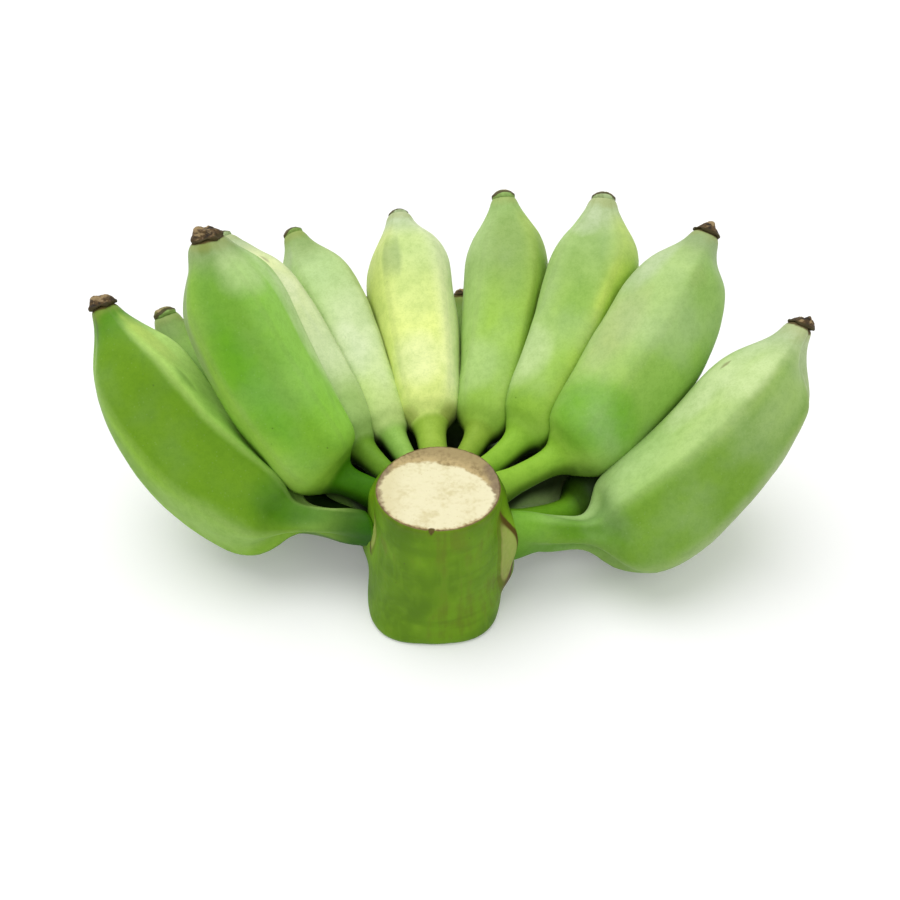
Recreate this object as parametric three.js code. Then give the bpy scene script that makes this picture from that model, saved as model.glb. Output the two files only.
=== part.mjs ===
// A hand of short green bananas on a cut length of the bunch's main stalk.
// Millimetres, +Z up. The hand stands on the stalk's lower cut and on the bellies of its lower fingers,
// and +Y points to the back of the fan. The origin is on the ground, under the middle of the hand.

import * as THREE from 'three';

// ---- driving dimensions ----

const stalkHeight = 57;
const stalkTopRadius = 23.5;
const stalkBottomRadius = 27;
const stalkLean = 2; // the foot stands this far to the left of the top
const stalkSides = 48;
const stalkLevels = 14;
const cutBevel = 1.2;

const cushionThickness = 4.5;
const cushionFoot = { left: 21, right: 13 }; // heights of its lower edge
const cushionTop = { sides: 44, back: 51 };
const cushionHalfReach = 95; // degrees each way
const cushionTurn = 7; // degrees that it is turned to the right
const cushionFade = 7; // millimetres, and degrees, over which its edges run out

const fingerSides = 20;
const lineStep = 2; // between the points of a finger's middle line
const stemRadius = 5.4;
const stemDepth = 1.2; // a stem is taller than wide
const footFlare = 1.25; // and taller still where it leaves the cushion
const fingerDepth = 1.06;
const fingerWidth = 0.97;
const ridgeCount = 5;
const ridgeHeight = 0.035; // of the finger's half width

const flowerEndLength = 4.5;
const flowerEndSides = 10;

const stemGap = 0.5; // from a stem's foot to the cushion
const pressGap = 0.55; // from each finger to the surface where it presses on the next
const tipGap = 0.3; // from a finger to its flower end

// ---- the fingers, each row from left to right ----

// root: place of the stem's foot, degrees from the back and height
// way: heading of the stem, then of the tip, degrees from the back
// rise: pitch of the stem, of the body where it starts, and of the tip
// stem, body: lengths. girth: largest half width
// blunt: 1 for a full shoulder, 0 for a body that tapers to the stem
// neck: 1 for a long neck behind the tip, 0 for a short one
// crust: radius of the dry flower end
const upperRow = [
  {
    root: [-51, 37], way: [-70, -42], rise: [13, 49, 70],
    stem: 18, body: 104, girth: 20, blunt: 0.85, neck: 0.2, crust: 6.2, skin: 'green',
  },
  {
    root: [-35, 39], way: [-39, -49], rise: [8, 24, 50],
    stem: 22, body: 107, girth: 19.5, blunt: 0.5, neck: 0.6, crust: 5, skin: 'pale',
  },
  {
    root: [-19, 41], way: [-24, -34], rise: [9, 15, 43],
    stem: 22, body: 106, girth: 18, blunt: 0.4, neck: 1, crust: 4.5, skin: 'pale',
  },
  {
    root: [-2, 42], way: [-6, -12], rise: [12, 20, 41],
    stem: 22, body: 104, girth: 19, blunt: 0.4, neck: 1, crust: 4.5, skin: 'lime',
  },
  {
    root: [16, 41], way: [27, -8], rise: [10, 20, 54],
    stem: 22, body: 110, girth: 19, blunt: 0.4, neck: 1, crust: 5, skin: 'green',
  },
  {
    root: [33, 41], way: [46, 11], rise: [10, 27, 54],
    stem: 26, body: 110, girth: 20, blunt: 0.6, neck: 1, crust: 4.5, skin: 'pale',
  },
  {
    root: [51, 40], way: [60, 36], rise: [6, 34, 48],
    stem: 31, body: 109, girth: 21.2, blunt: 0.9, neck: 0.9, crust: 5, skin: 'green',
  },
];

const lowerRow = [
  {
    root: [-83, 33], way: [-77, -37], rise: [-8, 16, 59],
    stem: 32, body: 115, girth: 20.8, blunt: 1, neck: 1, crust: 4.5, skin: 'olive',
  },
  {
    root: [-66, 25], way: [-56, -44], rise: [-6, 8, 63],
    stem: 28, body: 105, girth: 18, blunt: 0.8, neck: 1, crust: 4.5, skin: 'olive',
  },
  {
    root: [-40, 23], way: [-36, -34], rise: [-14, 0, 44],
    stem: 26, body: 94, girth: 17, blunt: 0.8, neck: 1, crust: 4, skin: 'green',
  },
  {
    root: [-14, 23], way: [-17, -14], rise: [-15, 0, 61],
    stem: 26, body: 94, girth: 17, blunt: 0.8, neck: 1, crust: 4, skin: 'pale',
  },
  {
    root: [11, 23.8], way: [7, -2], rise: [-15, 0, 63],
    stem: 26, body: 94, girth: 18, blunt: 0.8, neck: 1, crust: 4, skin: 'green',
  },
  {
    root: [40, 24.5], way: [37, 31], rise: [-12, 1, 44],
    stem: 26, body: 94, girth: 19.5, blunt: 0.8, neck: 1, crust: 4, skin: 'pale',
  },
  {
    root: [66, 27], way: [64, 54], rise: [-10, -2, 28],
    stem: 30, body: 90, girth: 16.5, blunt: 0.8, neck: 1, crust: 4, skin: 'green',
  },
  {
    root: [84, 33], way: [86, 39], rise: [-15, 20, 54],
    stem: 35, body: 118, girth: 22.8, blunt: 1, neck: 1, crust: 4.5, skin: 'green',
  },
];

// ---- looks ----

const fingerColours = { green: 0x86b955, pale: 0xb4d48a, lime: 0xd5e588, olive: 0x7a9c3c };
const stalkColour = 0x6a9428;
const crustColour = 0x4a3420;

// ---- helpers ----

const radians = THREE.MathUtils.degToRad;
const smooth = THREE.MathUtils.smoothstep;
const lerp = THREE.MathUtils.lerp;
const up = new THREE.Vector3(0, 0, 1);

// A direction from its heading, measured from +Y towards +X, and its pitch, both in degrees.
function direction(heading, pitch) {
  const across = Math.cos(radians(pitch));
  return new THREE.Vector3(
    across * Math.sin(radians(heading)),
    across * Math.cos(radians(heading)),
    Math.sin(radians(pitch)),
  );
}

function headingOf(x, y) {
  return THREE.MathUtils.radToDeg(Math.atan2(x, y));
}

// ---- the stalk ----

function stalkMiddle(height) {
  return new THREE.Vector3(-stalkLean * (1 - height / stalkHeight), 0, height);
}

// Distance of the skin from the stalk's middle line, at a heading and a height.
function stalkSkin(heading, height) {
  const plain = lerp(stalkBottomRadius, stalkTopRadius, height / stalkHeight);
  const reach = cushionHalfReach - Math.abs(heading - cushionTurn);
  const top = lerp(cushionTop.sides, cushionTop.back, smooth(Math.cos(radians(heading)), 0, 0.7));
  const foot = lerp(cushionFoot.right, cushionFoot.left, smooth(-heading, 40, 90));
  const round = smooth(reach, -cushionFade, 2 * cushionFade);
  const level = smooth(height, foot - cushionFade, foot)
    * (1 - smooth(height, top, top + cushionFade));
  return plain + cushionThickness * round * level;
}

// A round bar of radius 1, bevelled at both cuts, then spread to the skin.
function stalkGeometry() {
  const profile = [new THREE.Vector2(0, 0), new THREE.Vector2(1 - cutBevel / stalkBottomRadius, 0)];
  for (let level = 0; level <= stalkLevels; level += 1) {
    profile.push(new THREE.Vector2(1, lerp(cutBevel, stalkHeight - cutBevel, level / stalkLevels)));
  }
  profile.push(new THREE.Vector2(1 - cutBevel / stalkTopRadius, stalkHeight));
  profile.push(new THREE.Vector2(0, stalkHeight));
  const geometry = new THREE.LatheGeometry(profile, stalkSides).rotateX(Math.PI / 2);
  const place = geometry.attributes.position;
  for (let i = 0; i < place.count; i += 1) {
    const [x, y, height] = [place.getX(i), place.getY(i), place.getZ(i)];
    const skin = stalkSkin(headingOf(x, y), height);
    const middle = stalkMiddle(height);
    place.setXY(i, middle.x + x * skin, middle.y + y * skin);
  }
  return geometry;
}

// ---- a finger ----

// The finger's middle line, from the cushion to the end of the flower end, a point every step.
function fingerLine({ root, way, rise, stem, body }) {
  const [heading, height] = root;
  const foot = stalkSkin(heading, height) + stemGap;
  const point = stalkMiddle(height).addScaledVector(direction(heading, 0), foot);
  const points = [point.clone()];
  for (let walked = lineStep / 2; walked < stem + body + flowerEndLength; walked += lineStep) {
    const turned = smooth(walked, stem - 8, stem + 16);
    const along = Math.max(0, (walked - stem) / body);
    const pitch = lerp(rise[0], rise[1], turned) + (rise[2] - rise[1]) * along;
    const turn = lerp(way[0], way[1], walked / (stem + body));
    point.addScaledVector(direction(turn, pitch), lineStep);
    points.push(point.clone());
  }
  return points;
}

function pointOn(line, distance) {
  const last = line.length - 1.001;
  const spot = THREE.MathUtils.clamp(distance / lineStep, 0, last);
  const before = Math.floor(spot);
  return line[before].clone().lerp(line[before + 1], spot - before);
}

// Half width along the finger: the stem, the shoulder, the belly and the neck.
function fingerOutline({ stem, body, girth, blunt, neck }) {
  const shoulder = (tapered, full) => girth * lerp(tapered, full, blunt);
  const behindTip = (short, long) => girth * lerp(short, long, neck);
  return [
    [0, stemRadius * 1.1],
    [stem * 0.25, stemRadius],
    [stem * 0.6, stemRadius * 0.98],
    [stem * 0.88, stemRadius * 1.08],
    [stem + body * 0.02, shoulder(0.36, 0.5)],
    [stem + body * 0.05, shoulder(0.43, 0.74)],
    [stem + body * 0.1, shoulder(0.53, 0.9)],
    [stem + body * 0.18, shoulder(0.67, 0.98)],
    [stem + body * 0.29, shoulder(0.83, 1)],
    [stem + body * 0.42, shoulder(0.96, 1)],
    [stem + body * 0.55, girth],
    [stem + body * 0.66, behindTip(1, 0.99)],
    [stem + body * 0.74, behindTip(0.99, 0.94)],
    [stem + body * 0.8, behindTip(0.95, 0.84)],
    [stem + body * 0.85, behindTip(0.88, 0.7)],
    [stem + body * 0.89, behindTip(0.77, 0.54)],
    [stem + body * 0.93, behindTip(0.6, 0.38)],
    [stem + body * 0.965, behindTip(0.42, 0.28)],
    [stem + body, behindTip(0.33, 0.25)],
  ];
}

// Half width at any distance, straight between the outline's points.
function halfWidthAt(outline, distance) {
  const next = outline.findIndex(([along]) => along >= distance);
  if (next < 1) {
    return outline.at(next)[1];
  }
  const [from, before] = outline[next - 1];
  const [to, after] = outline[next];
  return lerp(before, after, (distance - from) / (to - from));
}

// How much wider and deeper than round the finger is, at a distance and an angle from its top.
function sectionStretch({ stem, body }, along, angle) {
  const belly = smooth(along, stem, stem + body * 0.2) * (1 - smooth(along, stem + body * 0.75, stem + body));
  const onStem = 1 - smooth(along, stem * 0.7, stem * 1.3);
  const ridge = 1 - ridgeHeight * belly * Math.cos(ridgeCount * angle);
  const flare = lerp(footFlare, 1, smooth(along, 0, stem * 0.4));
  return {
    width: ridge * lerp(1, fingerWidth, belly),
    depth: ridge * lerp(lerp(1, fingerDepth, belly), stemDepth * flare, onStem),
  };
}

// A straight finger, bent along its middle line. The middle and half width at each vertex are kept.
function makeFinger(plan) {
  const line = fingerLine(plan);
  const outline = fingerOutline(plan);
  const profile = outline.map(([along, radius]) => new THREE.Vector2(radius, along));
  profile.unshift(new THREE.Vector2(0, 0), new THREE.Vector2(outline[0][1] / 2, 0));
  profile.push(new THREE.Vector2(0, plan.stem + plan.body));
  const geometry = new THREE.LatheGeometry(profile, fingerSides);
  const place = geometry.attributes.position;
  const middles = [];
  const halfWidths = [];
  for (let i = 0; i < place.count; i += 1) {
    const [across, along, deep] = [place.getX(i), place.getY(i), place.getZ(i)];
    const forward = pointOn(line, along + 1).sub(pointOn(line, along - 1)).normalize();
    const side = forward.clone().cross(up).normalize();
    const top = side.clone().cross(forward);
    const { width, depth } = sectionStretch(plan, along, Math.atan2(across, deep));
    const middle = pointOn(line, along);
    const spot = middle.clone().addScaledVector(side, across * width).addScaledVector(top, deep * depth);
    place.setXYZ(i, spot.x, spot.y, spot.z);
    middles.push(middle);
    halfWidths.push(halfWidthAt(outline, along));
  }
  return { plan, line, outline, geometry, middles, halfWidths };
}

// The stem's foot slides along the stem until it follows the cushion, all round.
function seatFoot(finger) {
  const place = finger.geometry.attributes.position;
  const back = pointOn(finger.line, 0).sub(pointOn(finger.line, lineStep)).normalize();
  const passes = 12;
  for (let i = 0; i < place.count; i += 1) {
    const onFoot = finger.middles[i].distanceTo(finger.line[0]) < 0.01;
    const spot = new THREE.Vector3().fromBufferAttribute(place, i);
    for (let pass = 0; onFoot && pass < passes; pass += 1) {
      const offset = spot.clone().sub(stalkMiddle(spot.z));
      const clearance = offset.length() - stalkSkin(headingOf(offset.x, offset.y), spot.z);
      spot.addScaledVector(back, (clearance - stemGap) * 0.7);
    }
    place.setXYZ(i, spot.x, spot.y, spot.z);
  }
}

// How many of a finger's half widths a point is from its middle line, and that half width.
function reachFrom(finger, point) {
  const distances = finger.line.map((spot) => spot.distanceTo(point));
  const closest = Math.min(...distances);
  const halfWidth = halfWidthAt(finger.outline, distances.indexOf(closest) * lineStep);
  return { reach: closest / halfWidth, halfWidth };
}

// Fingers that press on each other are flattened to the surface midway between them.
function pressAgainst(finger, neighbour) {
  const place = finger.geometry.attributes.position;
  for (let i = 0; i < place.count; i += 1) {
    const middle = finger.middles[i];
    const halfWidth = finger.halfWidths[i];
    const offset = new THREE.Vector3().fromBufferAttribute(place, i).sub(middle);
    const isClear = (share) => {
      const other = reachFrom(neighbour, middle.clone().addScaledVector(offset, share));
      const margin = pressGap / halfWidth + pressGap / other.halfWidth;
      return offset.length() * share / halfWidth < other.reach - margin;
    };
    let kept = isClear(1) ? 1 : 0.5;
    for (let change = 0.25; kept < 1 && change > 0.002; change /= 2) {
      kept += isClear(kept) ? change : -change;
    }
    const spot = middle.clone().addScaledVector(offset, kept);
    place.setXYZ(i, spot.x, spot.y, spot.z);
  }
}

// ---- the dry flower end ----

function flowerEndGeometry({ plan, line }) {
  const { crust } = plan;
  const profile = [
    new THREE.Vector2(0, 0),
    new THREE.Vector2(crust * 0.8, 0),
    new THREE.Vector2(crust, flowerEndLength * 0.3),
    new THREE.Vector2(crust * 0.96, flowerEndLength * 0.65),
    new THREE.Vector2(crust * 0.7, flowerEndLength),
    new THREE.Vector2(0, flowerEndLength * 0.8),
  ];
  const geometry = new THREE.LatheGeometry(profile, flowerEndSides);
  const end = pointOn(line, plan.stem + plan.body);
  const forward = end.clone().sub(pointOn(line, plan.stem + plan.body - lineStep)).normalize();
  geometry.applyQuaternion(new THREE.Quaternion().setFromUnitVectors(new THREE.Vector3(0, 1, 0), forward));
  const seat = end.addScaledVector(forward, tipGap);
  return geometry.translate(seat.x, seat.y, seat.z);
}

// ---- the hand ----

const hand = new THREE.Group();

function addPiece(name, geometry, color, roughness) {
  const piece = new THREE.Mesh(geometry, new THREE.MeshStandardMaterial({ color, roughness, metalness: 0 }));
  piece.name = name;
  hand.add(piece);
}

addPiece('stalk', stalkGeometry(), stalkColour, 0.6);

const fingers = [...upperRow, ...lowerRow].map(makeFinger);
fingers.forEach(seatFoot);
for (const finger of fingers) {
  for (const neighbour of fingers) {
    if (neighbour !== finger) {
      pressAgainst(finger, neighbour);
    }
  }
}
fingers.forEach((finger, index) => {
  const number = String(index + 1).padStart(2, '0');
  addPiece(`finger_${number}`, finger.geometry, fingerColours[finger.plan.skin], 0.5);
  addPiece(`flower_end_${number}`, flowerEndGeometry(finger), crustColour, 0.9);
});

const box = new THREE.Box3().setFromObject(hand);
const middle = box.getCenter(new THREE.Vector3());
hand.position.set(-middle.x, -middle.y, -box.min.z);

export default hand;
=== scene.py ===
import random
from math import atan2, cos, degrees, hypot, pi, radians, sin, tau

import bpy
from mathutils import Matrix, Vector


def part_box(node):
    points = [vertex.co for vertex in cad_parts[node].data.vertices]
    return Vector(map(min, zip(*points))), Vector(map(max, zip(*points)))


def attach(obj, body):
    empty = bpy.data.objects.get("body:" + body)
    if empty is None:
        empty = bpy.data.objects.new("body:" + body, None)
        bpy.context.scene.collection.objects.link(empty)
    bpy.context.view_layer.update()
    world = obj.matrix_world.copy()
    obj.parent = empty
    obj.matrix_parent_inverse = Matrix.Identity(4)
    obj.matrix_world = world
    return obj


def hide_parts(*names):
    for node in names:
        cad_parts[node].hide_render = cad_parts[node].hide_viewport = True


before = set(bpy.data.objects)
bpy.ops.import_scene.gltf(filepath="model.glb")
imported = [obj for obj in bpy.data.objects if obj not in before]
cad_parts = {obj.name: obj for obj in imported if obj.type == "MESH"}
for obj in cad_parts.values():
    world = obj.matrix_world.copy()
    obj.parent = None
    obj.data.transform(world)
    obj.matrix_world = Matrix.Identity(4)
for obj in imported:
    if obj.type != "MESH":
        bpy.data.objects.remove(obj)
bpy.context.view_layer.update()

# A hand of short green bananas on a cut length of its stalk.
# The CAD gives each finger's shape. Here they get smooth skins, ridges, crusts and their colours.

mm = 0.001
scene = bpy.context.scene


# small helpers

def takeUp(*pieces):
    # only these are selected, and the first is active
    bpy.ops.object.select_all(action="DESELECT")
    for piece in pieces:
        piece.select_set(True)
    bpy.context.view_layer.objects.active = pieces[0]


def editMode(selectAll=False):
    bpy.ops.object.mode_set(mode="EDIT")
    bpy.ops.mesh.select_mode(type="VERT")
    bpy.ops.mesh.select_all(action="SELECT" if selectAll else "DESELECT")


def objectMode():
    bpy.ops.object.mode_set(mode="OBJECT")


def selectParts(piece, kind, wanted):
    # goes to edit mode with only those faces, edges or vertices selected for which wanted(part) is true
    objectMode()
    mesh = piece.data
    for group in (mesh.vertices, mesh.edges, mesh.polygons):
        group.foreach_set("select", [False] * len(group))
    scene.tool_settings.mesh_select_mode = [kind == each for each in ("VERT", "EDGE", "FACE")]
    for part in {"FACE": mesh.polygons, "EDGE": mesh.edges, "VERT": mesh.vertices}[kind]:
        part.select = wanted(part)
    bpy.ops.object.mode_set(mode="EDIT")


def mergedCopy(node, name):
    # the CAD node's mesh as one skin, in a new object
    piece = bpy.data.objects.new(name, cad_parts[node].data.copy())
    piece.data.materials.clear()
    scene.collection.objects.link(piece)
    takeUp(piece)
    editMode(selectAll=True)
    bpy.ops.mesh.remove_doubles(threshold=0.01 * mm)
    objectMode()
    return piece


def modify(piece, kind, **settings):
    # adds a modifier, sets it and applies it
    takeUp(piece)
    modifier = piece.modifiers.new(kind.title(), kind)
    for name, value in settings.items():
        setattr(modifier, name, value)
    bpy.ops.object.modifier_apply(modifier=modifier.name)


def smoothSkin(piece, levels):
    modify(piece, "SUBSURF", levels=levels, render_levels=levels)
    bpy.ops.object.shade_smooth()


def raiseSkin(piece, height, weights=None, texture=None, middle=0.0):
    # moves the skin along its normals by height, times a weight from 0 to 1 for each vertex, times a texture
    settings = {"strength": height, "mid_level": middle, "direction": "NORMAL"}
    if weights is not None:
        group = piece.vertex_groups.new(name="raised")
        for index, weight in enumerate(weights):
            if weight > 0.001:
                group.add([index], min(weight, 1.0), "REPLACE")
        settings["vertex_group"] = group.name
    if texture is not None:
        settings["texture"] = texture
        settings["texture_coords"] = "LOCAL"
    modify(piece, "DISPLACE", **settings)
    if weights is not None:
        piece.vertex_groups.remove(piece.vertex_groups["raised"])


def roughen(piece, clouds, weights=None, share=1.0):
    # clouds: how high the lumps are, how far apart, and how many finer ones lie on them
    height, size, depth = clouds
    name = "clouds %g %d" % (size / mm, depth)
    texture = bpy.data.textures.get(name) or bpy.data.textures.new(name, "CLOUDS")
    texture.noise_scale = size
    texture.noise_depth = depth
    raiseSkin(piece, height * share, weights, texture, 0.5)


def ease(value, low, high):
    # 0 at low, 1 at high, smooth between them
    share = min(max((value - low) / (high - low), 0.0), 1.0)
    return share * share * (3 - 2 * share)


def middleOf(points):
    return sum(points, Vector()) / len(points)


def putAttribute(piece, name, values):
    piece.data.attributes.new(name, "FLOAT", "POINT").data.foreach_set("value", values)


def finishPiece(piece, node, material):
    piece.data.materials.clear()
    piece.data.materials.append(material)
    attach(piece, "root")
    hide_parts(node)


# shader helpers

def tint(code):
    # six hex digits as seen on a screen, to the linear colour that a shader takes
    channels = [int(code[i:i + 2], 16) / 255 for i in (0, 2, 4)]
    linear = [c / 12.92 if c <= 0.04045 else ((c + 0.055) / 1.055) ** 2.4 for c in channels]
    return (*linear, 1.0)


class Wire:
    # a socket that can be used in sums

    def __init__(self, paint, socket):
        self.paint = paint
        self.socket = socket

    def calc(self, operation, *others, swap=False):
        terms = [self, *others]
        if swap:
            terms.reverse()
        return self.paint.node("ShaderNodeMath", {"operation": operation}, dict(enumerate(terms)))

    def __add__(self, other):
        return self.calc("ADD", other)

    def __sub__(self, other):
        return self.calc("SUBTRACT", other)

    def __rsub__(self, other):
        return self.calc("SUBTRACT", other, swap=True)

    def __mul__(self, other):
        return self.calc("MULTIPLY", other)

    def __truediv__(self, other):
        return self.calc("DIVIDE", other)

    def __pow__(self, other):
        return self.calc("POWER", other)

    __radd__ = __add__
    __rmul__ = __mul__


class Nodes:
    # the nodes of a world or a material

    def __init__(self, owner):
        owner.use_nodes = True
        self.tree = owner.node_tree

    def node(self, kind, settings=None, sockets=None, output=0):
        made = self.tree.nodes.new(kind)
        for name, value in (settings or {}).items():
            setattr(made, name, value)
        for key, value in (sockets or {}).items():
            if isinstance(value, Wire):
                self.tree.links.new(value.socket, made.inputs[key])
            else:
                made.inputs[key].default_value = value
        return Wire(self, made.outputs[output])

    def seen(self):
        # 1 where it is looked at, 0 where it only gives light
        camera, glossy, clear = [self.node("ShaderNodeLightPath", output="Is %s Ray" % kind)
                                 for kind in ("Camera", "Glossy", "Transmission")]
        return (camera + glossy + clear).calc("MINIMUM", 1.0)


class Paint(Nodes):
    # a material, its shader, the colours that it is painted with and the layers that lie on it

    def __init__(self, name, colours, layers=None):
        self.material = bpy.data.materials.new(name)
        super().__init__(self.material)
        self.shader = self.tree.nodes["Principled BSDF"]
        self.spot = self.node("ShaderNodeTexCoord", output="Object")
        self.colours = colours
        self.layers = layers

    def colour(self, name):
        return tint(self.colours[name])

    def feed(self, name, value):
        if isinstance(value, Wire):
            self.tree.links.new(value.socket, self.shader.inputs[name])
        else:
            self.shader.inputs[name].default_value = value

    def attribute(self, name):
        return self.node("ShaderNodeAttribute", {"attribute_name": name}, output="Fac")

    def axis(self, letter, vector=None):
        return self.node("ShaderNodeSeparateXYZ", None, {0: vector or self.spot}, output=letter)

    def noise(self, scale, detail, stretch=None):
        # stretch: its scales along x, y and z, in place of one scale for all
        vector = self.spot
        if stretch:
            vector = self.node("ShaderNodeVectorMath", {"operation": "MULTIPLY"}, {0: vector, 1: stretch})
        return self.node("ShaderNodeTexNoise", None, {"Vector": vector, "Scale": scale, "Detail": detail})

    def dots(self, scale, size, share, most):
        # round dots, size of a cell wide, in that share of the cells, and how much of them shows
        sockets = {"Vector": self.spot, "Scale": scale}
        far, pick = [self.node("ShaderNodeTexVoronoi", None, sockets, output=output)
                     for output in ("Distance", "Color")]
        chosen = self.rise(self.axis("X", pick), 1 - share, 1 - share + 0.02)
        return self.rise(far, size, size * 0.4) * chosen * most

    def waver(self, value, noise, amount):
        # the value, shifted up and down by a noise
        return value + (noise - 0.5) * amount

    def rise(self, value, low, high):
        # 0 at low, 1 at high, smooth between them
        return self.node("ShaderNodeMapRange", {"interpolation_type": "SMOOTHSTEP"},
                         {"Value": value, "From Min": low, "From Max": high})

    def mix(self, factor, first, second, blend="MIX"):
        return self.node("ShaderNodeMix", {"data_type": "RGBA", "blend_type": blend},
                         {0: factor, 6: first, 7: second}, output=2)

    def lay(self, under, name, mask, blend="MIX"):
        # one of its colours over what is there, as much as the mask says
        return self.mix(mask, under, self.colour(name), blend)

    def cover(self, name, value, *shares):
        # how much of a layer there is: none where the value starts it, its most where it is full
        _, start, full, most = self.layers[name][:4]
        mask = self.rise(value, start, full)
        for share in (*shares, most):
            if share != 1:
                mask = mask * share
        return mask

    def coat(self, under, name, value, *shares):
        # one of its layers over what is there
        colour, _, _, _, *blend = self.layers[name]
        return self.lay(under, colour, self.cover(name, value, *shares), *blend)

    def ramp(self, value, places, names):
        # those of its colours at their places on the value, smooth between them
        mixed = self.colour(names[0])
        for start, end, name in zip(places, places[1:], names[1:]):
            mixed = self.lay(mixed, name, self.rise(value, start, end))
        return mixed

    def finish(self, colour, roughness, height, detail):
        # height: what the bump shows
        strength, depth = detail["bump"]
        normal = self.node("ShaderNodeBump", None,
                           {"Height": height, "Strength": strength, "Distance": depth})
        for name, value in (("Normal", normal), ("Base Color", colour), ("Roughness", roughness),
                            ("Specular IOR Level", detail["specular"])):
            self.feed(name, value)
        return self.material


# the fingers

fingerSides = 20        # columns of vertices round each CAD finger
skinPlaces = ("along", "aroundSine", "aroundCosine")      # what each vertex of a finger knows of its place

fingerShape = {
    "levels": 2,
    "fill": 0.55 * mm,           # what smoothing takes off is put back
    "ridge": 0.8 * mm,
    "ridges": 5,
    "corner": 0.7 * mm,          # how far the CAD finger's own ridges stand out
    "lumps": (1.0 * mm, 24 * mm, 1),
    "dents": (0.2 * mm, 5 * mm, 2),
    "footSink": 2.2 * mm,        # how far a stem goes into the cushion
    "tipDome": 1.5 * mm,         # how far the end of the neck stands out
    "tipRound": 0.93,            # and how much narrower it gets
    "shoulder": 1.0 * mm,        # how far the body's end stands out over the stem
    "bulge": 1.25,               # a finger is this much wider than its stem where its body starts
    # places along a finger: 0 is the foot, 1 the shoulder and 2 the tip
    "lean": (1.75, 2.0),         # where the tip starts to lean, and where it leans fully
    "widen": (1.86, 1.95),       # the same for a wider neck
}

# along a finger: where each part comes in, and where it goes out
fingerParts = {
    "stem": ((0.0, 0.3), (0.85, 1.04)),
    "step": ((1.0, 1.06), (1.08, 1.3)),
    "body": ((1.0, 1.25), (1.8, 1.97)),
}

# where along a finger each of its five shades is full
shadePlaces = (0.85, 1.1, 1.35, 1.8, 1.97)

# the shades of the peel, from yellowish and milky greens to dark ones, and those of its marks
peelShades = {
    "butter": "fbfde0", "lemonMilk": "f5fbc0", "lemon": "f1fc9a", "lime": "e0ea8a",
    "limeShade": "a8b048", "limeDull": "8a8e38", "milk": "e6f0ca", "cream": "dfeebb", "mist": "cbdab2",
    "haze": "bfd0a0", "scuff": "a0b088", "scuffDark": "94ac70", "springPale": "d4e896",
    "springSoft": "d2e2ac", "citrus": "d0f484", "spring": "d4ea6e", "springDeep": "c4dc68",
    "willow": "bcca84", "sprout": "a2c04a", "sproutDark": "93b23f", "leafPale": "c0dc94",
    "leafSoft": "bcd98c", "leafLight": "b3d07f", "leafBright": "a8d058", "leafFresh": "a0c852",
    "leafCool": "a4c474", "leaf": "9bc45e", "leafMid": "92bc58", "leafDull": "9ab868",
    "leafShade": "84b04c", "leafGrey": "92b05c", "grassLight": "a8e65a", "grass": "95c23f",
    "grassBright": "84c02c", "grassDeep": "78b030", "grassDark": "76a032", "moss": "6e9a1c",
    "fernBright": "68ae14", "fern": "5c921a", "stem": "46800a", "stemDeep": "2f6a02",
    # the two darkest greens on the next line are painted shade, for stems and hidden fingers that lie in
    # shade between the others
    "mossDark": "4e7020", "shadow": "3a6016", "deepShadow": "1b2f07", "olive": "6c8636",
    "oliveGrey": "7c9450", "oliveDark": "5c5c30", "scar": "7a6840", "scarPale": "8c8068",
}

# shades: of the stem, the body's low, middle and high part, and the neck
# sides: shade and amount of its long flat sides, by their degrees from its top
# edge: how softly they end, in degrees
# patches: degrees from its top, place along, reach in degrees, reach along, shade, amount
# swells: the same places and reaches, with a height in millimetres
# roll: how many degrees its ridges are turned
# bloom: how dusty it is, from 0 to 1
# thin, wide: how much thinner the stem is and how much wider the neck than the CAD's, in millimetres
# lean: degrees from its top, how far its tip moves that way and how far it moves forward, in millimetres
# under, over: how much painted shade lies on the stem's lower and upper sides
# the hidden lower fingers: painted shade on their stems, in the shadow green, and on their upper sides near
# the stems, which lie under the upper row
lowerLook = {
    "slot": "peel_green", "shades": ("shadow", "leafShade", "leafMid", "leaf", "leafDull"), "edge": 18,
    "bloom": 0.2, "thin": 0.6, "under": 0.2, "over": 0.95,
    "sides": {72: ("leafShade", 0.6)},
}

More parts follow.
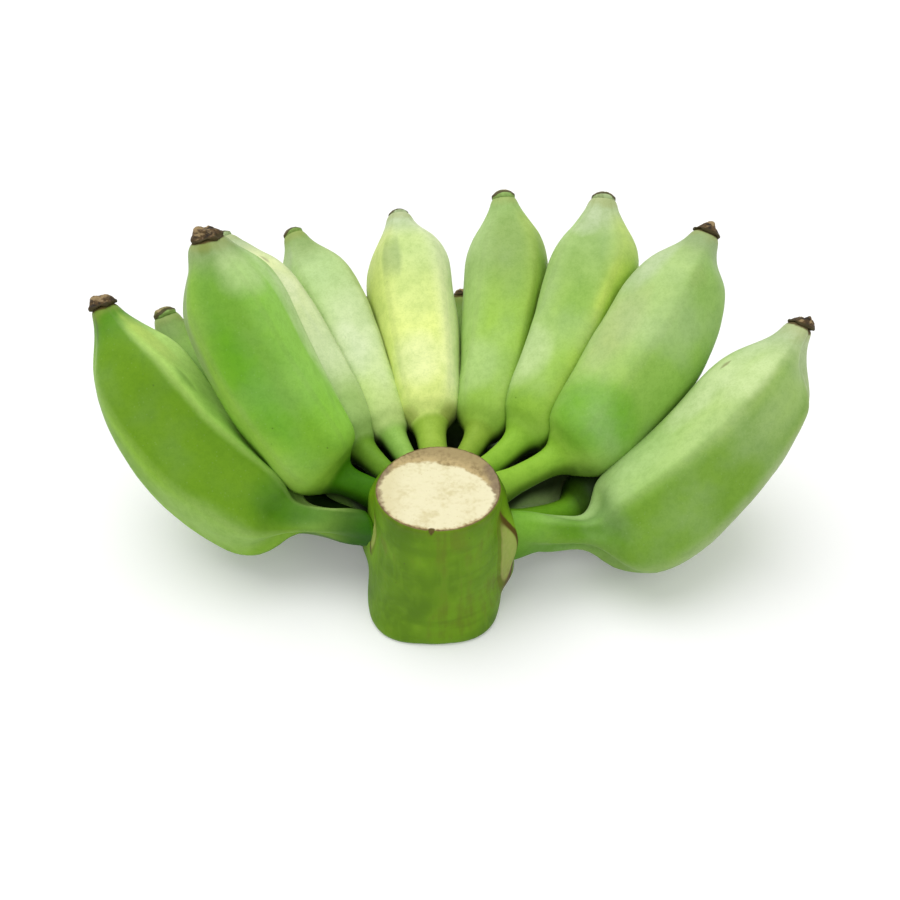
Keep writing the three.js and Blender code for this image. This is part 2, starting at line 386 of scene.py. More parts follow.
fingerLooks = {
    "01": {
        "slot": "peel_green", "shades": ("stem", "grass", "grassBright", "leafShade", "scuffDark"),
        "edge": 24, "bloom": 0.1, "thin": 0.6, "lean": (0, 0, 1.4), "under": 0.5, "roll": 30,
        "sides": {
            -42: ("grassDeep", 0.7), 30: ("grassLight", 0.7), 102: ("leafSoft", 0.9),
            -114: ("leafBright", 0.7),
        },
        "patches": [
            (-55, 1.5, 26, 0.3, "fernBright", 0.6), (-122, 1.76, 36, 0.28, "scuffDark", 0.85),
            (5, 1.88, 42, 0.1, "springSoft", 0.45), (-45, 1.985, 26, 0.03, "olive", 0.7),
            (50, 1.6, 20, 0.4, "milk", 0.5),
        ],
        "swells": [(-125, 1.87, 70, 0.13, -2.3), (-110, 1.97, 60, 0.05, 0.8)],
    },
    "02": {
        "slot": "peel_pale", "shades": ("grassDark", "leafLight", "cream", "lemonMilk", "haze"), "edge": 16,
        "bloom": 0.2, "thin": 1.0, "wide": 1.3, "under": 0.8,
        "sides": {-72: ("leafLight", 0.9), 72: ("cream", 0.6)},
        "patches": [
            (22, 1.84, 8, 0.03, "scarPale", 0.6), (10, 1.7, 22, 0.1, "milk", 0.5),
            (14, 1.5, 10, 0.12, "milk", 0.35),
        ],
    },
    "03": {
        "slot": "peel_pale", "shades": ("leaf", "springPale", "cream", "leafPale", "leafGrey"), "edge": 18,
        "bloom": 0.2, "thin": 1.1, "lean": (0, 0, 0.5), "wide": 0.3, "under": 0.9,
        "sides": {-72: ("leafPale", 0.5), 72: ("willow", 0.6)},
        "patches": [
            (-7, 1.85, 5, 0.012, "olive", 0.8), (-7, 1.55, 4, 0.01, "olive", 0.7),
            (-16, 1.41, 4, 0.01, "olive", 0.8), (33, 1.48, 5, 0.012, "oliveDark", 0.8),
            (-20, 1.35, 30, 0.15, "milk", 0.6), (-60, 1.88, 20, 0.08, "scuff", 0.5),
        ],
    },
    "04": {
        "slot": "peel_lime", "shades": ("sprout", "lemon", "lemon", "springPale", "mist"), "edge": 20,
        "bloom": 0.12, "thin": 0.2, "wide": 0.4, "under": 0.85,
        "sides": {
            -72: ("lime", 0.7), 72: ("butter", 0.6), 144: ("limeShade", 0.7), -144: ("limeShade", 0.7),
        },
        "patches": [
            (-26, 1.74, 17, 0.13, "scuffDark", 0.6), (3, 1.74, 4, 0.01, "olive", 0.8),
            (25, 1.33, 4, 0.01, "limeDull", 0.7), (-10, 1.22, 40, 0.14, "lemonMilk", 0.6),
            (-60, 1.0, 34, 0.06, "limeDull", 0.5), (60, 1.0, 34, 0.06, "limeDull", 0.5),
        ],
        "swells": [(50, 1.78, 55, 0.22, 2.6)],
    },
    "05": {
        "slot": "peel_green", "shades": ("sproutDark", "leafFresh", "leafBright", "leafDull", "leafCool"),
        "edge": 22, "bloom": 0.2, "thin": 0.9, "lean": (0, 0, 0.5), "wide": 0.5, "under": 0.95,
        "sides": {-72: ("leafPale", 0.7), 72: ("springDeep", 0.6)},
        "patches": [
            (-25, 1.22, 40, 0.13, "leafSoft", 0.7), (40, 1.45, 14, 0.25, "sproutDark", 0.5),
            (55, 1.75, 20, 0.12, "leafGrey", 0.5),
        ],
        "swells": [(70, 1.82, 60, 0.22, 1.6), (-70, 1.82, 60, 0.2, 1.0)],
    },
    "06": {
        "slot": "peel_pale", "shades": ("grass", "leafFresh", "leafBright", "leafCool", "haze"), "edge": 20,
        "bloom": 0.2, "thin": 0.8, "lean": (0, 0, 0.6), "wide": 0.9, "under": 0.95,
        "sides": {-72: ("leafSoft", 0.85), 72: ("springDeep", 0.8)},
        "patches": [
            (-26, 1.28, 34, 0.16, "cream", 0.55), (42, 1.58, 18, 0.2, "spring", 0.7),
            (8, 1.08, 50, 0.07, "grass", 0.6), (5, 1.5, 20, 0.16, "leafMid", 0.5),
            (-20, 1.9, 30, 0.08, "mist", 0.6),
        ],
        "swells": [(60, 1.8, 60, 0.2, 3.4), (-57, 1.8, 60, 0.2, 1.0)],
    },
    "07": {
        "slot": "peel_green", "shades": ("grass", "leafBright", "leafBright", "leafSoft", "scuffDark"),
        "edge": 18, "bloom": 0.25, "thin": 1.0, "lean": (75, 1.0, 0.3), "under": 0.6,
        "sides": {
            0: ("leafLight", 0.5), -72: ("leafSoft", 0.8), 72: ("leafMid", 0.8), 144: ("leafShade", 0.8),
        },
        "patches": [
            (30, 1.16, 60, 0.16, "fernBright", 0.7), (-12, 1.5, 30, 0.22, "willow", 0.6),
            (-30, 1.78, 26, 0.15, "mist", 0.7), (-11, 1.62, 5, 0.03, "oliveGrey", 0.6),
            (-25, 1.76, 5, 0.02, "oliveGrey", 0.6), (39, 1.81, 16, 0.07, "leafGrey", 0.5),
            (104, 1.35, 12, 0.25, "olive", 0.5),
        ],
        "swells": [(100, 1.52, 55, 0.3, 3.0), (90, 1.91, 60, 0.08, -1.4)],
    },
    "08": {
        # its stem, the low part of its body and the dark patch round its foot are painted shade, where it
        # lies in 01's shade
        "slot": "peel_olive", "shades": ("stem", "shadow", "grassDark", "grassDark", "fern"), "edge": 8,
        "bloom": 0.08, "thin": 0.4, "lean": (-110, 1.5, 1.0), "under": 0.3, "roll": 36,
        "sides": {-36: ("moss", 0.9), 36: ("citrus", 0.95), -108: ("grass", 0.8), 108: ("leafShade", 0.9)},
        "patches": [
            (-120, 0.98, 110, 0.13, "stemDeep", 0.8), (24, 1.86, 24, 0.12, "springDeep", 0.8),
            (-96, 1.36, 34, 0.2, "leafCool", 0.45), (-20, 1.2, 44, 0.14, "stem", 0.7),
            (36, 1.3, 30, 0.26, "grassDark", 0.7), (14, 1.72, 12, 0.06, "leafShade", 0.6),
            (-70, 1.96, 14, 0.05, "mossDark", 0.7), (-104, 1.7, 20, 0.24, "grassDark", 0.6),
        ],
        "swells": [
            (30, 1.94, 60, 0.08, 1.4), (-90, 1.9, 60, 0.12, -2.2), (-115, 1.55, 75, 0.32, 3.7),
            (-113, 1.08, 88, 0.17, -4.0), (-135, 1.185, 75, 0.13, -5.2), (-120, 0.75, 90, 0.25, -1.6),
        ],
    },
    "09": {**lowerLook, "slot": "peel_olive", "wide": 0.6, "lean": (0, 0, 1.3), "under": 0.4, "over": 0.7,
           "sides": {-72: ("leafShade", 0.6)}},
    "10": {**lowerLook, "over": 0.9},
    "11": {**lowerLook, "slot": "peel_pale", "sides": {-72: ("leafCool", 0.6)},
           "shades": ("shadow", "leaf", "leafLight", "leafLight", "leafDull")},
    "12": lowerLook,
    "13": {**lowerLook, "slot": "peel_pale", "sides": {-72: ("leaf", 0.6)},
           "shades": ("shadow", "leafMid", "leafLight", "leafLight", "leafDull")},
    # 14 shows between 07 and 15: its body is painted near black, painted shade
    "14": {**lowerLook, "bloom": 0.05, "thin": 1.3, "under": 0.4, "over": 0.2,
           "shades": ("grassBright", "deepShadow", "shadow", "leafShade", "leafDull"),
           "sides": {-72: ("shadow", 0.6)}},
    "15": {
        "slot": "peel_green", "shades": ("leafShade", "grassDeep", "leaf", "springPale", "haze"),
        "edge": 12, "bloom": 0.2, "thin": 0.0, "lean": (150, 1.2, 0.6), "under": 0.3, "roll": -14,
        "sides": {
            -86: ("leafPale", 0.85), -14: ("leafSoft", 0.6), 58: ("grassDark", 0.95),
            # 130 is a paler rim low on its right side: painted light reflected from the floor
            130: ("leafGrey", 0.9),
        },
        "patches": [
            (4, 1.81, 22, 0.1, "cream", 0.4), (-30, 1.75, 24, 0.2, "cream", 0.6),
            (20, 1.2, 60, 0.13, "fern", 0.7), (-57, 1.91, 8, 0.015, "scar", 0.7),
            (-38, 1.82, 7, 0.02, "scar", 0.6), (112, 1.6, 26, 0.3, "scuff", 0.6),
            (140, 1.27, 46, 0.16, "grassDark", 0.7), (145, 1.08, 50, 0.16, "fern", 0.85),
            (-25, 1.45, 30, 0.12, "leafPale", 0.6), (56, 1.84, 34, 0.15, "leafLight", 0.6),
        ],
        "swells": [
            (84, 1.8, 65, 0.26, -3.0), (92, 1.93, 75, 0.11, -4.2), (128, 1.21, 80, 0.12, -6.0),
            (104, 1.4, 65, 0.24, 2.4), (112, 1.1, 75, 0.15, -2.6), (150, 0.98, 80, 0.11, 5.6),
            (130, 0.2, 90, 0.3, 2.0),
        ],
    },
}

# what lies over the shades, and a near black painted shade for where the stems stand close together
peelMarks = {
    "ridge": "7f9458", "bloom": "d3e2c0", "mottle": "b9cf9c", "freckle": "dcebbb", "speck": "4c6a22",
    "seat": "aaa85a", "rim": "5a4426", "paintedShade": "0e1a03",
}

# layers: the colour, where on its value it starts and where it is full, and how much of it there is then
peelLayers = {
    "ridge": ("ridge", -0.9, -1.0, 0.12),
    "bloom": ("bloom", 0.42, 0.7, 1),
    "mottle": ("mottle", 0.35, 0.75, 0.25, "MULTIPLY"),
    "dust": ("mottle", 0.4, 0.65, 0.22, "MULTIPLY"),
    "seat": ("seat", 1.955, 1.99, 0.3),
    "rim": ("rim", 1.992, 1.999, 0.9),
    # under and over: painted shade on the stems' lower and upper sides
    "under": ("paintedShade", 0.55, -0.2, 1),
    "over": ("paintedShade", -0.3, 0.4, 1),
}

peelDetail = {
    "noises": [(30, 1), (120, 2), (420, 2), (1400, 2)],       # scale and detail, from large to dust
    # scale, size as a share of a cell, share of the cells, and how much of them shows
    "freckles": (640, 0.26, 0.4, 0.05),
    "specks": (150, 0.08, 0.14, 0.65),
    # along a finger: where the body's marks come in, where its sides fade, and where the painted shade on
    # the stems ends
    "body": (1.0, 1.15),
    "sideFade": (1.98, 1.86),
    "underEnd": (1.15, 0.95),
    "overEnd": (1.5, 1.25),
    "patchEdge": (1.3, 0.1),         # where a patch starts and where it is full, as shares of its reach
    "roughness": 0.5,
    "rimRough": 0.3,                 # what a rim adds to it
    "specular": 0.1,
    "bump": (0.3, 0.35 * mm),        # strength and depth
}

stalkAxis = middleOf([Vector(p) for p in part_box("stalk")])


def ringsOf(piece):
    # the finger's rings of vertices, from the tip's pole to the foot's, each starting at the finger's top
    # and going to its right, seen along the finger
    mesh = piece.data
    links = [set() for _ in mesh.vertices]
    for edge in mesh.edges:
        first, second = edge.vertices
        links[first].add(second)
        links[second].add(first)
    place = [vertex.co for vertex in mesh.vertices]
    poles = [i for i in range(len(links)) if len(links[i]) == fingerSides]
    rings = [[max(poles, key=lambda i: (place[i] - stalkAxis).length)]]
    seen = set(rings[0])
    while len(seen) < len(links):
        ring = {j for i in rings[-1] for j in links[i]} - seen
        seen |= ring
        if len(ring) == 1:
            rings.append(list(ring))
        elif len(rings) == 1:
            start = min(ring)
            walk = [start, min(links[start] & ring)]
            while len(walk) < fingerSides:
                walk.append((links[walk[-1]] & ring - set(walk)).pop())
            forward = place[rings[0][0]] - stalkAxis
            centre = middleOf([place[i] for i in walk])
            turn = (place[walk[0]] - centre).cross(place[walk[1]] - centre)
            rings.append(walk if turn.dot(forward) > 0 else walk[::-1])
        else:
            last = rings[-1]
            rings.append([(links[last[k]] & links[last[k - 1]] & ring).pop() for k in range(len(last))])
    centres = [middleOf([place[i] for i in ring]) for ring in rings]
    score = [0.0] * fingerSides
    for before, ring, after, centre in zip(centres, rings[1:-1], centres[2:], centres[1:-1]):
        forward = before - after
        top = forward.cross(Vector((0, 0, 1))).cross(forward).normalized()
        for k, i in enumerate(ring):
            score[k] += (place[i] - centre).normalized().dot(top)
    first = score.index(max(score))
    return [ring[first:] + ring[:first] if len(ring) > 1 else ring for ring in rings], centres


def markSkin(piece):
    # writes where each vertex is: along is 0 at the foot, 1 at the shoulder and 2 at the tip
    rings, centres = ringsOf(piece)
    mesh = piece.data
    steps = [(a - b).length for a, b in zip(centres, centres[1:])]
    distance = [sum(steps[k:]) for k in range(len(rings))]
    widths = [sum((mesh.vertices[i].co - centre).length for i in ring) / len(ring)
              for ring, centre in zip(rings, centres)]
    shoulderWidth = fingerShape["bulge"] * min(widths[-6:-2])       # of the stem's rings
    shoulder = max(k for k in range(len(rings) - 2) if widths[k] > shoulderWidth)
    along, sine, cosine = [[0.0] * len(mesh.vertices) for _ in skinPlaces]
    for k, ring in enumerate(rings):
        if k >= shoulder:
            share = distance[k] / distance[shoulder]
        else:
            share = 1 + (distance[k] - distance[shoulder]) / (distance[0] - distance[shoulder])
        for column, i in enumerate(ring):
            angle = 2 * pi * column / fingerSides
            along[i] = share
            sine[i] = sin(angle) if len(ring) > 1 else 0.0
            cosine[i] = cos(angle) if len(ring) > 1 else 0.0
    for name, values in zip(skinPlaces, (along, sine, cosine)):
        putAttribute(piece, name, values)
    return rings, centres


def dissolveDiagonals(piece, rings):
    # the CAD's triangles are joined in pairs, so that the skin is a grid
    spot = {i: (k, column) for k, ring in enumerate(rings) for column, i in enumerate(ring)}

    def isDiagonal(edge):
        (ringA, columnA), (ringB, columnB) = spot[edge.vertices[0]], spot[edge.vertices[1]]
        atPole = len(rings[ringA]) == 1 or len(rings[ringB]) == 1
        return ringA != ringB and columnA != columnB and not atPole

    takeUp(piece)
    selectParts(piece, "EDGE", isDiagonal)
    bpy.ops.mesh.dissolve_edges(use_verts=False)
    objectMode()


def readAttribute(piece, name):
    return [item.value for item in piece.data.attributes[name].data]


def shiftSkin(piece, heights):
    # moves each vertex along its normal by its own height: first those that go in, then those that go out
    for furthest in (min(heights), max(heights)):
        if furthest:
            raiseSkin(piece, furthest, [max(height / furthest, 0.0) for height in heights])


def within(part, along):
    # 1 in that part of a finger, 0 outside it
    comesIn, goesOut = fingerParts[part]
    return ease(along, *comesIn) * (1 - ease(along, *goesOut))


def nearness(angle, along, turn, place, reachTurn, reachAlong):
    # 1 at a place on a finger, falling to 0 at its reach
    off = (degrees(angle) - turn + 180) % 360 - 180
    return 1 - ease(hypot(off / reachTurn, (along - place) / reachAlong), 0.0, 1.0)


def makeFinger(number):
    look = fingerLooks[number]
    piece = mergedCopy("finger_" + number, "peel_" + number)
    rings, centres = markSkin(piece)
    intoStalk = (centres[-1] - centres[-4]).normalized()
    forward = (centres[0] - centres[2]).normalized()
    right = forward.cross(Vector((0, 0, 1))).normalized()
    leanTurn, leanAcross, leanAhead = look.get("lean", (0, 0, 0))
    lean = Matrix.Rotation(radians(leanTurn), 3, forward) @ right.cross(forward) * leanAcross * mm
    lean += forward * leanAhead * mm
    marks = readAttribute(piece, "along")
    for vertex, along in zip(piece.data.vertices, marks):
        vertex.co += lean * ease(along, *fingerShape["lean"])
    for k, ring in enumerate(rings):
        centres[k] = centres[k] + lean * ease(marks[ring[0]], *fingerShape["lean"])
    tip, tipRing = set(rings[0]), set(rings[1])
    foot = {i for ring in rings[-3:] for i in ring}
    dissolveDiagonals(piece, rings)
    selectParts(piece, "VERT", lambda vertex: vertex.index in foot)
    bpy.ops.transform.translate(value=intoStalk * fingerShape["footSink"])
    selectParts(piece, "VERT", lambda vertex: vertex.index in tipRing)
    bpy.ops.transform.resize(value=[fingerShape["tipRound"]] * 3, center_override=centres[1])
    selectParts(piece, "VERT", lambda vertex: vertex.index in tip)
    bpy.ops.transform.translate(value=forward * fingerShape["tipDome"])
    objectMode()
    smoothSkin(piece, fingerShape["levels"])
    heights = []
    bodies = []
    for along, sine, cosine in zip(*[readAttribute(piece, name) for name in skinPlaces]):
        angle = atan2(sine, cosine)
        body = within("body", along)
        wave = cos(fingerShape["ridges"] * (angle - radians(look.get("roll", 0))))
        ridge = (0.5 - 0.5 * wave) ** 4
        height = fingerShape["fill"] + fingerShape["ridge"] * ridge * body
        height += fingerShape["corner"] * body * (cos(fingerShape["ridges"] * angle) - wave)
        height += look.get("wide", 0) * mm * ease(along, *fingerShape["widen"])
        height += fingerShape["shoulder"] * within("step", along) - look["thin"] * mm * within("stem", along)
        for turn, place, reachTurn, reachAlong, swell in look.get("swells", []):
            height += swell * mm * nearness(angle, along, turn, place, reachTurn, reachAlong)
        heights.append(height)
        bodies.append(body)
    shiftSkin(piece, heights)
    roughen(piece, fingerShape["lumps"], bodies)
    roughen(piece, fingerShape["dents"], bodies)
    return piece, centres


def paintPeel(number):
    look = fingerLooks[number]
    paint = Paint("peel_" + number, {**peelShades, **peelMarks}, peelLayers)
    coat, lay, rise, waver = paint.coat, paint.lay, paint.rise, paint.waver
    along, sine, cosine = [paint.attribute(name) for name in skinPlaces]
    large, middling, fine, dust = [paint.noise(*each) for each in peelDetail["noises"]]
    onBody = rise(along, *peelDetail["body"])

    def facing(turn):
        return cosine * cos(radians(turn)) + sine * sin(radians(turn))

    colour = paint.ramp(waver(along, large, 0.25), shadePlaces, look["shades"])
    # the long flat sides, which meet at the ridges
    halfSide = 180 / fingerShape["ridges"]
    sideEnds = [cos(radians(halfSide + edge)) for edge in (look["edge"], -look["edge"])]
    fade = onBody * rise(along, *peelDetail["sideFade"])
    for turn, (side, amount) in look["sides"].items():
        colour = lay(colour, side, rise(waver(facing(turn), middling, 0.05), *sideEnds) * fade * amount)
    for turn, place, reachTurn, reachAlong, patch, amount in look.get("patches", []):
        across = (1 - facing(turn)) * (2 / radians(reachTurn) ** 2)
        length = ((along - place) / reachAlong) ** 2
        spread = waver(waver(across + length, large, 0.8), middling, 0.5)
        colour = lay(colour, patch, rise(spread, *peelDetail["patchEdge"]) * amount)
    # the cosine of five times the angle, which is -1 along the ridges
    turned = facing(look.get("roll", 0))
    squared = turned * turned
    colour = coat(colour, "ridge", (squared * 16 - 20) * (squared * turned) + turned * 5, onBody)
    colour = coat(colour, "bloom", large * 0.75 + middling * 0.25, onBody, look["bloom"])
    colour = coat(colour, "mottle", middling)
    colour = coat(colour, "dust", fine * 0.5 + dust * 0.5)
    colour = lay(colour, "freckle", paint.dots(*peelDetail["freckles"]) * onBody)
    colour = lay(colour, "speck", paint.dots(*peelDetail["specks"]))
    # a yellowish seat and, under a ragged flower end, a brown rim
    colour = coat(colour, "seat", waver(along, middling, 0.08))
    roughness = waver(peelDetail["roughness"], middling, 0.2)
    if isRagged(number):
        rim = paint.cover("rim", waver(along, fine, 0.01))
        colour = lay(colour, "rim", rim)
        roughness = roughness + rim * peelDetail["rimRough"]
    # painted shade where the stems stand close together, on their lower and upper sides near the foot
    nearStem = rise(waver(along, middling, 0.2), *peelDetail["underEnd"])
    colour = coat(colour, "under", cosine, nearStem, look["under"])
    if "over" in look:
        colour = coat(colour, "over", cosine, rise(along, *peelDetail["overEnd"]), look["over"])
    return paint.finish(colour, roughness, fine * 0.4 + middling * 0.6 + dust * 0.15, peelDetail)


# the dry flower ends

crustShape = {
    "sides": 24,
    "levels": 1,
    "skirt": 1.2 * mm,       # how far it reaches down over the neck
    "lumps": (0.9 * mm, 2.2 * mm, 1),
    "grain": (0.35 * mm, 0.8 * mm, 2),
    "ragged": 0.4,           # from this dryness up it is a dark crust, below it a thin cap on a green end
    "sleeve": 0.9 * mm,      # how much further down a thin cap goes into the neck
    "sink": 0.3 * mm,        # how far it is pressed onto the neck
    "arch": 2.0 * mm,        # how far the edge of a thin cap arches up in front and behind
    # the dome's steps: inset as a share of the radius, lift as a share of the height
    "dome": [(0.1, 0.16), (0.12, 0.26), (0.16, 0.26), (0.2, 0.18), (0.16, 0.1)],
    # for these, the first is there in any case, and the second is added by dryness
    "hang": (0.15, 0.35),    # how unevenly the lower edge hangs, in millimetres
    "lumpy": (0.15, 0.85),
    "grainy": (0.4, 0.6),
    "flare": 0.035,          # how unevenly a dry one stands out, as a share of its radius
    "tears": [(3, 1, 1), (5, 0.7, 2.3), (8, 0.5, 0)],     # waves round the edge: number, height, shift
}

# height in millimetres, width as a share of the CAD's, how dry and ragged from 0 to 1
# folds: degrees from the finger's top, place from the middle (0) to the rim (1), lift and reach in mm
crustLooks = {
    "01": (2.6, 1.0, 1.0, [(-110, 0.45, 2.2, 4.2), (-60, 0.85, -0.9, 2.2), (20, 0.9, -1.4, 3.4),
                           (-30, 0.55, 1.0, 2.0), (120, 0.5, 1.2, 3.0)]),
    "02": (2.2, 0.9, 0.2, []),
    "03": (2.0, 0.93, 0.1, []),
    "04": (2.2, 0.93, 0.15, []),
    "05": (2.4, 0.93, 0.0, []),
    "06": (2.2, 0.93, 0.2, []),
    "07": (3.0, 0.94, 1.0, [(10, 0.4, 1.6, 4.0), (40, 0.6, 0.8, 2.0), (-60, 0.8, -0.8, 3.0),
                            (150, 0.6, 0.8, 2.4)]),
    "08": (3.6, 0.97, 0.8, [(-110, 0.5, 1.3, 3.4), (60, 0.6, 0.7, 2.6), (-20, 0.5, -0.6, 1.6)]),
    "09": (2.2, 0.92, 0.3, [(-90, 0.7, 0.6, 2.0)]),
    "10": (2.2, 0.92, 0.6, [(30, 0.6, 0.8, 2.0)]),
    "11": (2.2, 0.92, 0.5, [(-80, 0.6, 0.7, 2.0)]),
    "12": (2.2, 0.92, 0.7, [(70, 0.6, 0.8, 2.2)]),
    "13": (2.4, 0.92, 0.8, [(-40, 0.6, 1.0, 2.2)]),
    "14": (2.2, 0.92, 0.6, [(130, 0.6, 0.8, 2.0)]),
    "15": (2.6, 0.94, 0.9, [(60, 0.5, 1.8, 2.6), (140, 0.8, 2.0, 3.0), (-60, 0.8, -0.7, 3.0),
                           (15, 0.5, -0.6, 1.6)]),
}

crustColours = {
    "deep": "241a0c", "brown": "54401f", "tan": "a89066", "greyHighlight": "8a7566",
    "mildOlive": "74783c", "mildTan": "a8966a", "line": "3c3414",
}

crustLayers = {
    "brown": ("brown", 0.35, 0.6, 1),
    "tan": ("tan", 0.5, 0.68, 0.8),
    "greyHighlight": ("greyHighlight", 0.55, 0.7, 0.6),
    "stained": ("mildOlive", 0.4, 0.7, 0.5),
    "dried": ("mildTan", 0.42, 0.6, 1),
}

crustDetail = {
    "noises": [(380, 3), (1300, 3)],     # scale and detail of the coarse and the fine one
    "streaks": (1.0, 3, (300, 420, 900)),
    "roughness": 0.75,
    "specular": 0.3,
    "bump": (0.6, 0.4 * mm),
}


def isRagged(number):
    return crustLooks[number][2] >= crustShape["ragged"]


def makeCrust(number, centres):
    node = "flower_end_" + number
    height, width, dry, folds = crustLooks[number]
    height *= mm
    tip = centres[0]
    forward = (centres[0] - centres[2]).normalized()
    right = forward.cross(Vector((0, 0, 1))).normalized()
    points = [vertex.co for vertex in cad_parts[node].data.vertices]
    wide = fingerLooks[number].get("wide", 0) * mm
    radius = width * max((p - tip - forward * (p - tip).dot(forward)).length for p in points) + wide
    skirt = crustShape["skirt"] + (0.0 if isRagged(number) else crustShape["sleeve"])
    bpy.ops.object.select_all(action="DESELECT")
    bpy.ops.mesh.primitive_cylinder_add(vertices=crustShape["sides"], radius=radius, depth=skirt,
                                        end_fill_type="NGON", location=(0, 0, -skirt / 2))
    piece = bpy.context.object
    piece.name = "crust_" + number
    piece.data.name = piece.name
    bpy.ops.object.transform_apply(location=True)
    # a low dome
    selectParts(piece, "FACE", lambda face: face.normal.z > 0.9)
    for inset, lift in crustShape["dome"]:
        bpy.ops.mesh.inset(thickness=radius * inset)
        bpy.ops.transform.translate(value=(0, 0, height * lift))
    bpy.ops.mesh.poke()
    objectMode()
    editMode(selectAll=True)
    bpy.ops.mesh.subdivide(number_cuts=1)
    objectMode()
    # folds stand up and sink in, and the lower edge hangs unevenly over the neck
    start = random.Random("crust" + number).uniform(0, tau)
    hang, lumpy, grainy = [first + more * dry for first, more in
                           (crustShape["hang"], crustShape["lumpy"], crustShape["grainy"])]
    for vertex in piece.data.vertices:
        x, y, z = vertex.co
        angle = atan2(y, x)
        lift = 0.0
        for turn, out, rise, reach in folds:
            fold = Vector((cos(radians(turn)), sin(radians(turn)), 0)) * out * radius
            lift += rise * mm * (1 - ease((Vector((x, y, 0)) - fold).length, 0, reach * mm))
        tear = sum(tall * cos(waves * angle + shift * start) for waves, tall, shift in crustShape["tears"])
        low = ease(-z, 0.2 * skirt, skirt)
        grow = 1 + crustShape["flare"] * dry * tear
        vertex.co = (x * grow, y * grow, z + lift * (1 - low) - low * hang * tear * mm)
    smoothSkin(piece, crustShape["levels"])
    roughen(piece, crustShape["lumps"], None, lumpy)
    roughen(piece, crustShape["grain"], None, grainy)
    putAttribute(piece, "up", [vertex.co.z / mm for vertex in piece.data.vertices])
    arch = crustShape["arch"] / mm / (2 * radius ** 2)
    putAttribute(piece, "arch", [(v.co.x ** 2 - v.co.y ** 2) * arch for v in piece.data.vertices])
    # its own x goes to the finger's top, y to its right and z out of the tip
    axes = Matrix((right.cross(forward), right, forward)).transposed().to_4x4()
    foot = tip + forward * (fingerShape["tipDome"] + wide - crustShape["sink"])
    piece.matrix_world = Matrix.Translation(foot) @ axes
    takeUp(piece)
    bpy.ops.object.transform_apply(location=True, rotation=True, scale=True)
    return piece


def paintCrust(number):
    paint = Paint("crust_" + number, {**peelShades, **peelMarks, **crustColours}, crustLayers)
    coat, lay, rise, waver = paint.coat, paint.lay, paint.rise, paint.waver
    up = paint.attribute("up")
    coarse, fine = [paint.noise(*each) for each in crustDetail["noises"]]
    if isRagged(number):
        streaks = paint.noise(*crustDetail["streaks"])
        colour = coat(paint.colour("deep"), "brown", coarse)
        # tan streaks are the crust's dry colour; their lean towards its top is painted light, lighter above
        # and darker low down
        colour = coat(colour, "tan", streaks + (up - 1.2) * 0.06)
        # pinkish grey patches placed by noise: painted highlight
        colour = coat(colour, "greyHighlight", fine * 0.5 + coarse * 0.5)
        edge = rise(waver(up, coarse, 0.8) - crustLooks[number][2] * 0.3, 0.05, -0.4)
    else:
        # green like the neck up to an arched edge, and dry above it
        green = coat(paint.colour(fingerLooks[number]["shades"][-1]), "stained", coarse)
        green = lay(green, "mottle", 0.4, "MULTIPLY")
        dried = coat(paint.colour("mildOlive"), "dried", coarse * 0.6 + fine * 0.4)
        level = waver(up - paint.attribute("arch"), coarse, 1.2)
        colour = paint.mix(rise(level, 0.1, -0.3), dried, green)
        edge = rise(level, -0.6, -0.1) * rise(level, 1.7, 0.9)
    colour = lay(colour, "line", edge * 0.85)
    roughness = waver(crustDetail["roughness"], fine, 0.3)
    return paint.finish(colour, roughness, coarse + fine * 0.5, crustDetail)


# the stalk

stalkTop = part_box("stalk")[1].z

stalkShape = {
    "levels": 2,
    "rings": 6,                  # rings cut into each sawn face
    "cutDepth": 0.3 * mm,        # what is this near an end belongs to its sawn face
    "topCrease": 0.8,
    "baseCrease": 0.9,
    "rimOut": 0.7 * mm,          # how far the sawn end's rim stands out
    "rimDepth": 3 * mm,
    "barkUp": 1.4 * mm,          # how far the bark stands up at the back of the sawn face
    "pithDip": 0.15 * mm,
    "collar": 0.8 * mm,          # the cushion swells round each stem
    "collarReach": (4 * mm, 12 * mm),     # how far from a stem it starts to fall, and where it ends
    "collarTop": (1 * mm, 9 * mm),        # and how far below the sawn face it rises
    "gapReach": (7 * mm, 17 * mm),        # the same for the painted shade between the stems
    "footReach": (8 * mm, 18 * mm),       # and for the fresh green in front of them
    "markTop": (0.5 * mm, 4 * mm),
    "behind": (-0.1, 0.4),                # where the back begins: the cosine of the heading
    "lumps": (0.7 * mm, 13 * mm, 2),
    "grain": (0.35 * mm, 1.6 * mm, 2),
    # the pith is an oval nearer the front
    "pithWide": 0.93,
    "pithDeep": 0.84,
    "pithFront": 3.5 * mm,
    "pithSkew": 0.25,
    "pithEdge": (0.8, 1.0),      # where the pith's dip ends, with 1 at its edge
    "barkRise": (1.0, 1.42),     # and where the bark stands up
    # a nick in the rim, pointed below: heading, half width, height and depth
    "nick": (-174.6, 1.9 * mm, 4.0 * mm, 1.2 * mm),
    # a scar is a raised ring, hollow in the middle
    "scarRing": (0.8, 1.25),
    "scarHollow": 0.5,           # as a share of what the ring stands out
}

# marks of the skin: heading in degrees from the back to the right, height, half width in degrees,
# half height, and how far it stands out
stalkScars = [
    (104, 30 * mm, 8, 16 * mm, 0.6 * mm),
    (-98, 38 * mm, 5, 9 * mm, 0.5 * mm),
]
stalkSwells = [
    (97, 31 * mm, 24, 22 * mm, 2.6 * mm),
    (-90, 38 * mm, 50, 16 * mm, -1.9 * mm),
    (92, 45 * mm, 30, 9 * mm, -1.8 * mm),
    (135, 0, 40, 20 * mm, 2.1 * mm),
    (-135, 0, 40, 20 * mm, 2.4 * mm),
    (92, 14 * mm, 40, 9 * mm, 0.8 * mm),
]

# what each vertex of the stalk knows: the sawn face, scars, how far round a scar's side it is, the nick,
# the gaps between stems, where shade is painted, and the fresh skin round them
stalkMarks = ("cut", "scar", "scarFar", "nick", "gap", "foot")

